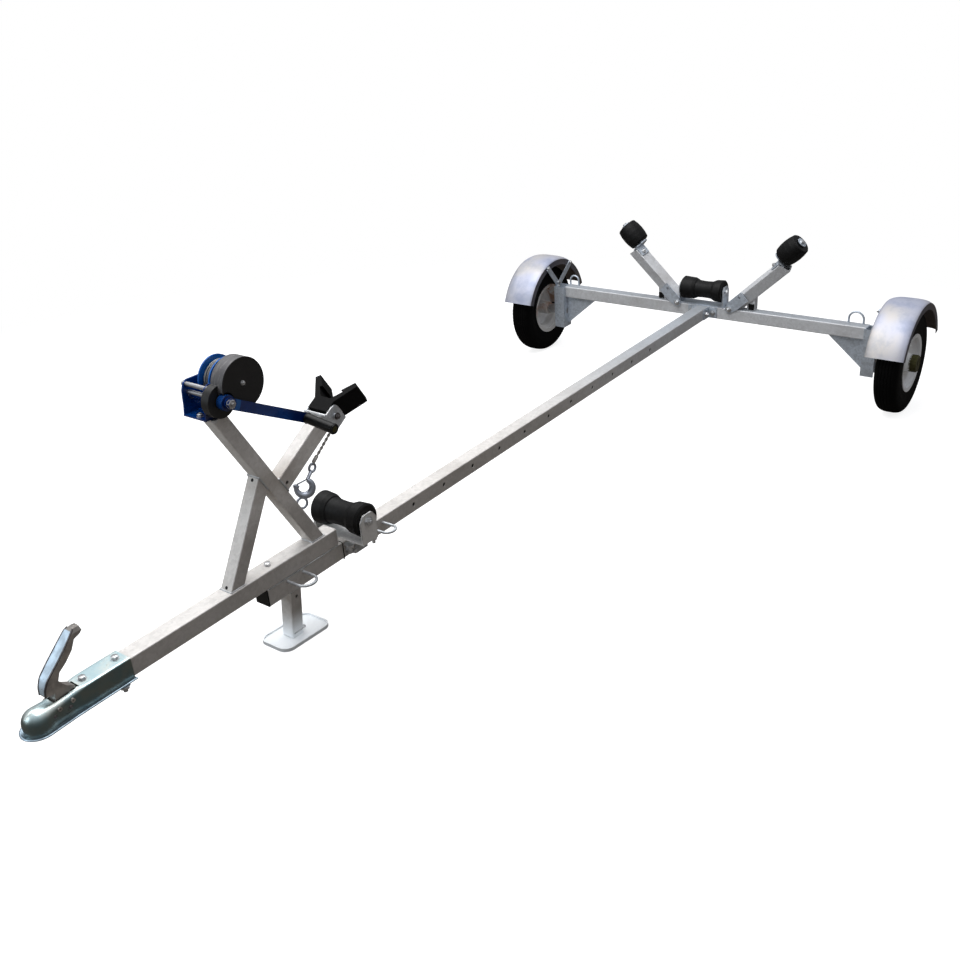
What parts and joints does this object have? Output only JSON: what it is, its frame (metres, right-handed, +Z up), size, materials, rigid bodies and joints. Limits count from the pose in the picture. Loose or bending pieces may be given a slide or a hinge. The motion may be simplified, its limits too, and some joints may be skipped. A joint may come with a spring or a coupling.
{
  "type": "boat trailer",
  "caption": "Light single-axle dinghy trailer with square-tube spine, ball coupling, hand winch, bow stop, keel and side rollers and mudguards.",
  "frame": {"origin": "on the ground under the middle of the bounding box", "axes": "+X forward to the coupling, +Y to the trailer's left, +Z up; it stands parked on wheels and prop stand, its frame leaning 2.9 degrees nose-down"},
  "size_m": [3.4854, 1.796, 0.8182],
  "materials": {
    "galvanised": "satin",
    "guard_steel": "satin",
    "zinc_plate": "satin",
    "bright_steel": "polished",
    "tyre": "matte",
    "rim_paint": "gloss",
    "black_rubber": "matte",
    "black_plastic": "satin",
    "blue_paint": "gloss",
    "wire_rope": "satin"
  },
  "bodies": {
    "chassis": {"axle_beam": "galvanised", "spine_tube": "galvanised", "drawbar_tube": "galvanised", "spine_angles": "galvanised", "drop_brackets": "galvanised", "stub_axles": "bright_steel", "mudguard_left": "guard_steel", "mudguard_right": "guard_steel", "guard_stays": "galvanised", "coupling_body": "zinc_plate", "coupling_lever": "zinc_plate", "winch_post": "galvanised", "post_brace": "galvanised", "bow_stop_arm": "galvanised", "bow_stop_bracket": "galvanised", "bow_stop_rubber": "black_rubber", "winch_frame": "blue_paint", "winch_tie_rods": "bright_steel", "winch_bushes": "bright_steel", "gear_cover": "black_plastic", "snap_hook": "bright_steel", "cable_end": "wire_rope", "roller_bracket_front": "galvanised", "roller_bracket_rear": "galvanised", "keel_roller_pins": "bright_steel", "roller_clamp": "galvanised", "side_arms": "galvanised", "side_arm_straps": "galvanised", "arm_rests": "galvanised", "end_plugs": "black_plastic", "side_roller_brackets": "galvanised", "lashing_rings": "galvanised", "prop_stand": "galvanised"},
    "wheel_left": {"tyre_left": "tyre", "rim_left": "rim_paint"},
    "wheel_right": {"tyre_right": "tyre", "rim_right": "rim_paint"},
    "front_keel_roller": {"keel_roller_front": "black_rubber"},
    "rear_keel_roller": {"keel_roller_rear": "black_rubber"},
    "left_side_roller": {"side_roller_left": "black_rubber"},
    "right_side_roller": {"side_roller_right": "black_rubber"},
    "drum": {"winch_drum": "blue_paint", "drum_cable": "wire_rope"},
    "crank": {"winch_crank": "blue_paint", "crank_grip": "black_plastic"}
  },
  "joints": [
    {"name": "wheel_left_spin", "type": "hinge", "parent": "chassis", "child": "wheel_left", "pos_m": [-1.49737, 0.832, 0.2], "axis": [0, 1, 0], "continuous": true},
    {"name": "wheel_right_spin", "type": "hinge", "parent": "chassis", "child": "wheel_right", "pos_m": [-1.49737, -0.832, 0.2], "axis": [0, 1, 0], "continuous": true},
    {"name": "front_keel_roller_spin", "type": "hinge", "parent": "chassis", "child": "front_keel_roller", "pos_m": [0.74897, 0, 0.26844], "axis": [0, 1, 0], "continuous": true},
    {"name": "rear_keel_roller_spin", "type": "hinge", "parent": "chassis", "child": "rear_keel_roller", "pos_m": [-1.50314, 0, 0.38253], "axis": [0, 1, 0], "continuous": true},
    {"name": "left_side_roller_spin", "type": "hinge", "parent": "chassis", "child": "left_side_roller", "pos_m": [-1.51211, 0.35833, 0.58125], "axis": [0.0345, 0.7314, 0.6811], "continuous": true},
    {"name": "right_side_roller_spin", "type": "hinge", "parent": "chassis", "child": "right_side_roller", "pos_m": [-1.51211, -0.35833, 0.58125], "axis": [0.0345, -0.7314, 0.6811], "continuous": true},
    {"name": "crank_spin", "type": "hinge", "parent": "chassis", "child": "crank", "pos_m": [1.13764, 0, 0.72636], "axis": [0, 1, 0], "continuous": true},
    {"name": "drum_spin", "type": "hinge", "parent": "chassis", "child": "drum", "pos_m": [1.08207, 0, 0.75621], "axis": [0, 1, 0], "continuous": true}
  ],
  "couplings": [
    {"joint": "drum_spin", "follows": "crank_spin", "ratio": -0.28}
  ]
}
